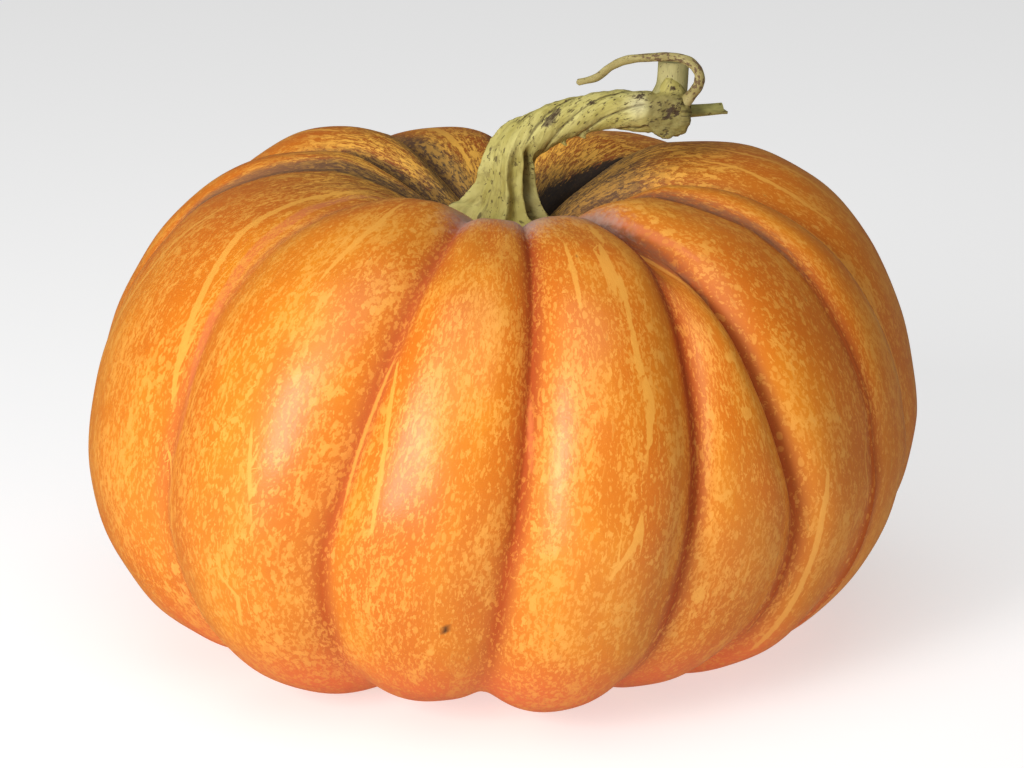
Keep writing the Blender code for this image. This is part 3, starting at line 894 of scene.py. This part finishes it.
class PUMPKIN_OT_fruit(bpy.types.Operator):
    """Build the fruit with its lobes, furrows and flecked skin"""

    bl_idname = "pumpkin.fruit"
    bl_label = "Fruit"

    def execute(self, context):
        settings = context.scene.pumpkin_fruit
        number, across, angle = fruit_grid(FRUIT_COLUMNS, FRUIT_ROWS, COLUMN_EASE)
        found = fruit_points(number, across, angle)
        even = found["even"]
        along = np.broadcast_to(arc_lengths(angle[:, :1]), even.shape)
        flow = (EQUATOR_RADIUS * np.sin(even), -EQUATOR_RADIUS * np.cos(even), along)
        flow = np.stack(flow, axis=-1)
        soft = relief(flow, DENTS) * settings.relief
        points = found["points"] + found["normal"] * soft[..., None]
        points = points + AXIS
        points[..., 2] = np.maximum(points[..., 2], 0)
        mesh = closed_mesh("fruit_skin", points)
        narrowing = np.clip(found["radius"] / EQUATOR_RADIUS, 0.02, 1) ** FLOW_NARROWING
        flow[..., :2] *= narrowing[..., None]

        def ends(values):
            flat = values.reshape(-1, *values.shape[2:])
            return np.concatenate((flat, [values[0].mean(axis=0), values[-1].mean(axis=0)]))

        set_attribute(mesh, "flow", ends(flow / MM))
        for name, values in skin_masks(found, number, across, angle).items():
            set_attribute(mesh, name, ends(np.broadcast_to(values, number.shape)))
        add_piece("pumpkin_fruit", mesh, rind_material(settings), "fruit")
        return {"FINISHED"}


def smooth_line(stations, rows_a_span):
    """Stations read from one smooth curve through the given ones, all columns alike."""
    stations = np.asarray(stations, float)
    padded = np.concatenate((stations[:1], stations, stations[-1:]))
    rows = []
    for k in range(len(stations) - 1):
        before, start, end, after = padded[k : k + 4]
        for share in np.arange(rows_a_span) / rows_a_span:
            a, b = share**2, share**3
            tangent_in, tangent_out = (end - before) / 2, (after - start) / 2
            rows.append(
                (2 * b - 3 * a + 1) * start
                + (b - 2 * a + share) * tangent_in
                + (3 * a - 2 * b) * end
                + (b - a) * tangent_out
            )
    rows.append(stations[-1])
    return np.array(rows)


def distances(line):
    """How far along a line each of its points is."""
    steps = np.linalg.norm(np.diff(line[:, :3], axis=0), axis=1)
    return np.concatenate(((0,), np.cumsum(steps)))


def frames_along(points):
    """Unit vectors along, to the side and up at each point of a line."""
    along = np.gradient(points, axis=0)
    along /= np.linalg.norm(along, axis=1, keepdims=True)
    side = np.array((0.0, -1.0, 0.0)) if abs(along[0, 1]) < 0.7 else np.array((1.0, 0.0, 0.0))
    sides = []
    for direction in along:
        side = side - direction * (side @ direction)
        side = side / np.linalg.norm(side)
        sides.append(side)
    sides = np.array(sides)
    return along, sides, np.cross(along, sides)


def tube(line, sides, radius_at=None, twists=None):
    """Rings round a line of (x, y, z, radius), in millimetres. radius_at(turn, row) is a
    factor of the radius, and twists turn the rings, in radians."""
    points, radii = line[:, :3], line[:, 3]
    _, side, up = frames_along(points)
    turn = np.arange(sides) * 2 * math.pi / sides
    row = np.arange(len(line))[:, None]
    factor = np.ones((len(line), sides)) if radius_at is None else radius_at(turn[None, :], row)
    spin = turn[None, :] + (0 if twists is None else twists[:, None])
    out = side[:, None, :] * np.cos(spin)[..., None] + up[:, None, :] * np.sin(spin)[..., None]
    return points[:, None, :] + out * (radii[:, None] * factor)[..., None]


def plain_tube(stations, grid):
    """Round rings along a smooth line through some stations."""
    rows_a_span, columns = grid
    return tube(smooth_line(stations, rows_a_span), columns)


def ridges(turn):
    """Sharp crests round the stalk's foot, from 0 between them to 1."""
    crest = 1 - np.abs(np.sin(STALK_RIDGES * turn))
    return np.where(np.cos(STALK_RIDGES * turn) > 0, crest, crest * MINOR_RIDGE)


def nearest_row(points, line):
    """The row of a line that each point is nearest to."""
    batch = 4000
    found = []
    for start in range(0, len(points), batch):
        part = points[start : start + batch]
        gaps = ((part[:, None, :] - line[None, :, :3]) ** 2).sum(axis=-1)
        found.append(gaps.argmin(axis=1))
    return np.concatenate(found)


def grown_together(parts, voxel):
    """One mesh in the frame's metres, grown from the rings of several closed parts."""
    whole = bmesh.new()
    for rings in parts:
        mesh = closed_mesh("part", rings * MM + AXIS)
        whole.from_mesh(mesh)
        bpy.data.meshes.remove(mesh)
    bmesh.ops.recalc_face_normals(whole, faces=whole.faces)
    mesh = bpy.data.meshes.new("grown")
    whole.to_mesh(mesh)
    whole.free()
    shape = bpy.data.objects.new("grown", mesh)
    bpy.context.scene.collection.objects.link(shape)
    remesh = shape.modifiers.new("grow", "REMESH")
    remesh.mode = "VOXEL"
    remesh.voxel_size = voxel
    relax = shape.modifiers.new("relax", "SMOOTH")
    relax.factor = 0.5
    relax.iterations = 2
    bpy.context.view_layer.update()
    graph = bpy.context.evaluated_depsgraph_get()
    grown = bpy.data.meshes.new_from_object(shape.evaluated_get(graph))
    bpy.data.objects.remove(shape)
    bpy.data.meshes.remove(mesh)
    grown.shade_smooth()
    return grown


def point_rows(mesh, name):
    """The places, "co", or normals of a mesh's points, as rows."""
    values = np.empty(len(mesh.vertices) * 3)
    mesh.vertices.foreach_get(name, values)
    return values.reshape(-1, 3)


def stalk_material(settings):
    """Dry straw-green stalk: pale ridges, grooves darkened with painted shade, specks in rows, and
    bruises.
    """
    s = Shader("stalk_skin")
    grain = s.attribute("grain", "Vector")
    ridge, groove, knob = s.attribute("ridge"), s.attribute("groove"), s.attribute("knob")
    bruise, pale, shade = s.attribute("bruise"), s.attribute("pale"), s.attribute("shade")
    tone = s.noise(s.stretched(grain, 0.4), 6, 3, 0.6)
    fibre = s.noise(s.stretched(grain, 0.2), 0.8, 3, 0.6)
    wander = s.noise(grain, 2.5, 2, 0.6, output="Color")
    strewn = s.warped(s.stretched(grain, 0.6), wander, 1.2)
    ragged = s.noise(strewn, 0.75, 3, 0.68)
    cluster = s.noise(s.stretched(grain, 0.6), 5, 3, 0.6)
    stain = s.noise(strewn, 2.6, 3, 0.66)
    skin = s.mix(s.between(tone, 0.36, 0.66), settings.straw, settings.straw_light)
    skin = s.mix(ridge * 0.5, skin, settings.straw_light)
    skin = s.mix(pale * 0.8, skin, settings.bare)
    skin = s.mix(s.between(fibre, 0.50, 0.72) * 0.4, skin, settings.straw_dark)
    skin = s.mix(s.between(stain, 0.52, 0.70) * 0.45, skin, settings.stain)
    skin = s.mix(knob * (0.45 + 0.5 * tone), skin, settings.knob)
    # Painted shade in the grooves and the crease.
    groove_shade = s.between(groove + (fibre - 0.5) * 0.6, 0.42, 0.80)
    skin = s.mix(groove_shade * (0.4 + 0.7 * cluster), skin, settings.groove)
    # Painted shade in the foot's deep groove.
    skin = s.mix(shade * (0.6 + 0.25 * fibre), skin, settings.shade)
    limit = 0.665 - 0.10 * s.between(cluster, 0.44, 0.60) - 0.13 * bruise - 0.04 * groove_shade - 0.04 * knob
    specks = s.between(ragged, limit, limit + 0.05)
    specks = s.larger(specks, dots(s, strewn, 1.3, 0.30, 0.34) * 0.8)
    stained = s.between(bruise + (ragged - 0.5) * 2.2, 0.40, 0.80) * s.between(bruise, 0.05, 0.3)
    skin = s.mix(stained * 0.8, skin, settings.bruise)
    skin = s.mix(specks * 0.88, skin, settings.specks)
    height = fibre * 0.5 + tone * 0.4 - specks * 0.4 - groove_shade * 0.5 + knob * ragged * 1.2
    normal = s.bump(height, 0.5 * MM, 0.7)
    shine = 0.60 + 0.18 * fibre
    sockets = {"Base Color": skin, "Roughness": shine, "Normal": normal, "Specular IOR Level": 0.3}
    return s.finish(sockets)


def stalk_profile(turn, reach, height):
    """The stalk's radius as a share, from the turn round it, how near the foot it is from 1
    to 0, and the height of its ridges."""
    each = np.round(turn * STALK_RIDGES / math.pi).astype(int) % (2 * STALK_RIDGES)
    sharp = np.clip(ridges(turn) * RIDGE_STRENGTHS[each], 0, RIDGE_LIMIT) - MEAN_RIDGE
    soft = ARM_HEIGHT * (1 - arm_grooves(turn)) - ARM_MEAN
    deep = groove_at(turn, GOUGE_TURN, GOUGE_WIDTH) * smooth_step((reach - 0.1) * 1.3)
    return 1 + height * (reach * sharp + (1 - reach) * soft) - GOUGE_DEPTH * deep


def groove_at(turn, middle, width):
    """1 in a groove along the stalk, fading to 0 at both sides of it."""
    off = np.remainder(turn - middle + math.pi, 2 * math.pi) - math.pi
    return hump(off, width)


def arm_grooves(turn):
    """1 in the narrow grooves of the stalk's arm, 0 on the backs between them."""
    return 1 - np.abs(np.cos(ARM_GROOVES * turn / 2)) ** ARM_GROOVE_POWER


def foot_share(x):
    """1 at the stalk's foot and 0 along its arm, from the distance along X in millimetres."""
    return smooth_step((FOOT_REACH - x) / FOOT_REACH)


def near(points, places):
    """How near each point is to any of some places with a radius, from 0 to 1."""
    return sum(np.exp(-((points - np.array(p[:3])) ** 2).sum(axis=1) / p[3] ** 2) for p in places)


class PUMPKIN_OT_stalk(bpy.types.Operator):
    """Build the ridged, twisted stalk with its foot and the knob at its end"""

    bl_idname = "pumpkin.stalk"
    bl_label = "Stalk"

    def execute(self, context):
        settings = context.scene.pumpkin_stalk
        line = smooth_line(STALK, STALK_GRID[0])
        twists = np.radians(line[:, 4])

        def ridged(turn, row):
            station = line[row[:, 0]]
            wobble = 0.05 * np.sin(row / 9 + 3 * turn)
            return stalk_profile(turn + wobble, foot_share(station[:, :1]), station[:, 5:6])

        parts = [tube(line, STALK_GRID[1], ridged, twists)]
        parts += [plain_tube(KNOB, KNOB_GRID), plain_tube(SHEATH, SHEATH_GRID)]
        for base, tip in THORNS:
            middle = [(a + b) / 2 for a, b in zip(base, tip)]
            thorn = np.column_stack(((base, middle, tip), THORN_RADII))
            parts.append(plain_tube(thorn, THORN_GRID))
        mesh = grown_together(parts, settings.voxel)
        points = (point_rows(mesh, "co") - AXIS) / MM
        row = nearest_row(points, line)
        _, side, up = frames_along(line[:, :3])
        away = points - line[row, :3]
        turn = np.arctan2((away * up[row]).sum(axis=1), (away * side[row]).sum(axis=1)) - twists[row]
        along = distances(line)[row]
        grain = (GRAIN_RADIUS * np.cos(turn), GRAIN_RADIUS * np.sin(turn), along)
        set_attribute(mesh, "grain", np.stack(grain, axis=-1))

        x, y, z = points.T
        foot = foot_share(line[row, 0])
        on_knob = above(x, KNOB_ALONG) * above(-y, KNOB_FRONT)
        middle_x, _, middle_z, radius = KNOB[CREASE_STATION]
        rim = np.hypot(x - middle_x, z - middle_z) - radius
        crease = hump(rim, CREASE_WIDTH) * (x < middle_x) * (y < -4) * CREASE_DEPTH
        sheath = above(z, SHEATH_UP)
        # Where painted shade darkens the grooves, the knob's crease and the thin groove at the foot.
        groove = np.maximum((1 - foot) * arm_grooves(turn) * (1 - on_knob), crease)
        thin = groove_at(turn, LEFT_GROOVE_TURN, LEFT_GROOVE_WIDTH)
        groove = np.maximum(groove, 0.6 * foot * thin)
        # Painted shade in the foot's deep groove.
        shade = groove_at(turn, GOUGE_TURN, GOUGE_WIDTH) * smooth_step((foot - 0.05) * 1.2)
        shade = shade * (1 - on_knob)
        rough = relief(points, STALK_RELIEF) - 0.35 * crease
        rough = rough + on_knob * relief(points, KNOB_RELIEF)
        rough = rough * (1 - 0.9 * sheath)
        moved = points + point_rows(mesh, "normal") * rough[:, None]
        mesh.vertices.foreach_set("co", (moved * MM + AXIS).ravel())
        masks = (
            ("ridge", ridges(turn) * foot * (1 - on_knob)),
            ("groove", groove),
            ("shade", shade),
            ("knob", on_knob * (1 - 0.8 * sheath)),
            ("bruise", np.clip(near(points, BRUISES), 0, 1)),
            ("pale", np.clip(near(points, (PALE_PATCH,)), 0, 1)),
        )
        for name, values in masks:
            set_attribute(mesh, name, values)
        add_piece("pumpkin_stalk", mesh, stalk_material(settings), "stalk")
        return {"FINISHED"}


def stub_material(name, first, second, specks, mottled=(-2, -1)):
    """Smooth dry skin in two tones, with fine fibres and specks along it, many more of them
    between the two mottled places, in millimetres along it."""
    s = Shader(name)
    grain = s.attribute("grain", "Vector")
    tone = s.noise(s.stretched(grain, 0.5), 4, 2, 0.6)
    fibre = s.noise(s.stretched(grain, 0.15), 0.6, 3, 0.6)
    speck = s.noise(s.stretched(grain, 0.6), 0.9, 3, 0.6)
    skin = s.mix(s.between(tone, 0.4, 0.65), first, second)
    skin = s.mix(s.between(fibre, 0.5, 0.75) * 0.35, skin, tuple(c * 0.5 for c in second))
    along = s.node("ShaderNodeSeparateXYZ", {}, {0: grain}, "Z")
    start, stop = mottled
    patchy = s.between(along, start, start + 6) * (1 - s.between(along, stop, stop + 6))
    limit = 0.62 - 0.13 * patchy
    marks = s.between(speck, limit, limit + 0.06)
    skin = s.mix(marks * 0.85, skin, specks)
    normal = s.bump(fibre * 0.6 - marks * 0.3, 0.3 * MM, 0.6)
    shine = 0.6 + 0.2 * fibre
    sockets = {"Base Color": skin, "Roughness": shine, "Normal": normal, "Specular IOR Level": 0.35}
    return s.finish(sockets)


def tube_piece(name, line, rings, material, node):
    """A piece made of one tube's rings, with its grain along the tube's line."""
    mesh = closed_mesh(name, rings * MM + AXIS)
    sides = rings.shape[1]
    turn = np.arange(sides) * 2 * math.pi / sides
    along = distances(line)
    grain = np.empty(rings.shape)
    grain[..., 0] = line[:, 3].mean() * np.cos(turn)
    grain[..., 1] = line[:, 3].mean() * np.sin(turn)
    grain[..., 2] = along[:, None]
    tips = [(0, 0, along[0]), (0, 0, along[-1])]
    set_attribute(mesh, "grain", np.concatenate((grain.reshape(-1, 3), tips)))
    mesh.set_sharp_from_angle(angle=SHARP_ANGLE)
    add_piece(name, mesh, material, node)


class PUMPKIN_OT_vine(bpy.types.Operator):
    """Build the cut vine that stands on the knob"""

    bl_idname = "pumpkin.vine"
    bl_label = "Cut vine"

    def execute(self, context):
        settings = context.scene.pumpkin_stalk
        line = smooth_line(VINE, VINE_GRID[0])
        height, share = VINE_BEVEL
        line = np.concatenate((line, [(*line[-1, :3] + (0, 0, height), line[-1, 3] * share)]))

        def five_sided(turn, row):
            return 1 + 0.03 * np.cos(5 * turn) + 0.012 * np.sin(3 * turn + row / 9)

        tones = (settings.vine, settings.vine_second, settings.vine_specks)
        material = stub_material("vine_skin", *tones)
        rings = tube(line, VINE_GRID[1], five_sided)
        tube_piece("pumpkin_vine_stub", line, rings, material, "vine_stub")
        return {"FINISHED"}


class PUMPKIN_OT_leaf_stalk(bpy.types.Operator):
    """Build the cut leaf stalk, channelled along its top and cut in two steps"""

    bl_idname = "pumpkin.leaf_stalk"
    bl_label = "Cut leaf stalk"

    def execute(self, context):
        settings = context.scene.pumpkin_stalk
        line = smooth_line(LEAF_STALK, LEAF_STALK_GRID[0])

        def channelled(turn, row):
            return 1 - 0.42 * np.clip(np.sin(turn), 0, None) ** 4 + 0.03 * np.cos(4 * turn)

        rings = tube(line, LEAF_STALK_GRID[1], channelled)
        lower = rings[-1, :, 2] < line[-1, 2]
        rings[-1, lower, 0] += LEAF_STALK_STEP
        tones = (settings.leaf_stalk, settings.leaf_stalk_second, settings.specks)
        material = stub_material("leaf_stalk_skin", *tones)
        tube_piece("pumpkin_leaf_stalk", line, rings, material, "leaf_stalk_stub")
        return {"FINISHED"}


class PUMPKIN_OT_tendril(bpy.types.Operator):
    """Build the dried tendril that curls over the cut vine"""

    bl_idname = "pumpkin.tendril"
    bl_label = "Tendril"

    def execute(self, context):
        settings = context.scene.pumpkin_stalk
        line = smooth_line(TENDRIL, TENDRIL_GRID[0])
        rows = np.arange(len(line))
        line[:, 3] *= 1.15 + 0.05 * np.sin(rows / 4.3) + 0.03 * np.sin(rows / 1.9)
        end, radius = line[-1, :3], line[-1, 3]
        onwards = (end - line[-2, :3]) / np.linalg.norm(end - line[-2, :3])
        for reach, share in TENDRIL_TIP:
            end = end + onwards * reach
            line = np.concatenate((line, [(*end, radius * share)]))

        def grooved(turn, row):
            return 1 - 0.10 * np.clip(np.cos(turn + row * 0.05), 0, None) ** 6

        tones = (settings.tendril, settings.tendril_second, settings.tendril_specks)
        material = stub_material("tendril_skin", *tones, TENDRIL_MOTTLED)
        rings = tube(line, TENDRIL_GRID[1], grooved)
        tube_piece("pumpkin_tendril", line, rings, material, "tendril")
        return {"FINISHED"}


def add_light(name, place, size, power):
    """A soft white light that faces the fruit."""
    light = bpy.data.lights.new(name, "AREA")
    light.shape = "RECTANGLE"
    light.size, light.size_y = size
    light.energy = power
    lamp = bpy.data.objects.new(name, light)
    bpy.context.scene.collection.objects.link(lamp)
    lamp.location = place
    aim = Vector(AXIS) - Vector(place)
    lamp.rotation_euler = aim.to_track_quat("-Z", "Y").to_euler()


class PUMPKIN_OT_stage(bpy.types.Operator):
    """Set the pale floor, the soft light and the camera"""

    bl_idname = "pumpkin.stage"
    bl_label = "Stage"

    def execute(self, context):
        settings = context.scene.pumpkin_stage
        scene = context.scene
        mesh = bpy.data.meshes.new("floor")
        corners = ((-1, -1), (1, -1), (1, 1), (-1, 1))
        mesh.from_pydata([(FLOOR_HALF * x, FLOOR_HALF * y, 0) for x, y in corners], [], [range(4)])
        floor = bpy.data.objects.new("floor", mesh)
        scene.collection.objects.link(floor)
        shader = Shader("floor")
        sockets = {"Base Color": settings.floor, "Roughness": 0.9, "Specular IOR Level": 0.0}
        sockets.update({"Emission Color": (1, 1, 1), "Emission Strength": settings.glow})
        mesh.materials.append(shader.finish(sockets))
        # In glossy reflections it would grey the skin at the fruit's edge.
        floor.visible_glossy = False

        world = bpy.data.worlds.new("studio")
        scene.world = world
        world.use_nodes = True
        background = world.node_tree.nodes["Background"]
        background.inputs["Color"].default_value = (1, 1, 1, 1)
        background.inputs["Strength"].default_value = settings.fill
        add_light("key", KEY_PLACE, KEY_SIZE, settings.key)
        add_light("top", TOP_PLACE, TOP_SIZE, settings.top)
        scene.view_settings.view_transform = "Standard"

        elevation = math.radians(CAMERA_ELEVATION)
        back = Vector((0, -math.cos(elevation), math.sin(elevation)))
        up = Vector((0, math.sin(elevation), math.cos(elevation)))
        right = Vector((1, 0, 0))
        across = (PICTURE[0] / 2 - AXIS_PIXEL[0]) / FOCAL_PIXELS
        upward = (AXIS_PIXEL[1] - PICTURE[1] / 2) / FOCAL_PIXELS
        look = (-back + right * across + up * upward).normalized()
        level = look.cross(Vector((0, 0, 1))).normalized()
        lens = bpy.data.cameras.new("camera")
        lens.sensor_width = SENSOR_WIDTH
        lens.lens = FOCAL_PIXELS / PICTURE[0] * SENSOR_WIDTH
        camera = bpy.data.objects.new("camera", lens)
        scene.collection.objects.link(camera)
        pose = Matrix((level, level.cross(look), -look)).transposed().to_4x4()
        pose.translation = Vector(AXIS) + back * CAMERA_DISTANCE
        camera.matrix_world = pose
        scene.camera = camera
        return {"FINISHED"}


OPERATORS = (
    PUMPKIN_OT_fruit,
    PUMPKIN_OT_stalk,
    PUMPKIN_OT_vine,
    PUMPKIN_OT_leaf_stalk,
    PUMPKIN_OT_tendril,
    PUMPKIN_OT_stage,
)


class PUMPKIN_PT_panel(bpy.types.Panel):
    """The pumpkin's sizes, colours and pieces"""

    bl_label = "Pumpkin"
    bl_idname = "PUMPKIN_PT_panel"
    bl_space_type = "VIEW_3D"
    bl_region_type = "UI"
    bl_category = "Pumpkin"

    def draw(self, context):
        for group in GROUPS:
            settings = getattr(context.scene, group)
            box = self.layout.box()
            for key in settings.bl_rna.properties.keys():
                if key not in ("rna_type", "name"):
                    box.prop(settings, key)
        for operator in OPERATORS:
            self.layout.operator(operator.bl_idname)


GROUPS = {
    "pumpkin_fruit": FruitSettings,
    "pumpkin_stalk": StalkSettings,
    "pumpkin_stage": StageSettings,
}


def register():
    for kind in (*GROUPS.values(), *OPERATORS, PUMPKIN_PT_panel):
        bpy.utils.register_class(kind)
    for name, kind in GROUPS.items():
        setattr(bpy.types.Scene, name, PointerProperty(type=kind))


def unregister():
    for name in GROUPS:
        delattr(bpy.types.Scene, name)
    for kind in reversed((*GROUPS.values(), *OPERATORS, PUMPKIN_PT_panel)):
        bpy.utils.unregister_class(kind)


def main():
    """Builds every piece and the stage."""
    register()
    bpy.ops.pumpkin.fruit()
    bpy.ops.pumpkin.stalk()
    bpy.ops.pumpkin.vine()
    bpy.ops.pumpkin.leaf_stalk()
    bpy.ops.pumpkin.tendril()
    bpy.ops.pumpkin.stage()


if __name__ == "__main__":
    main()
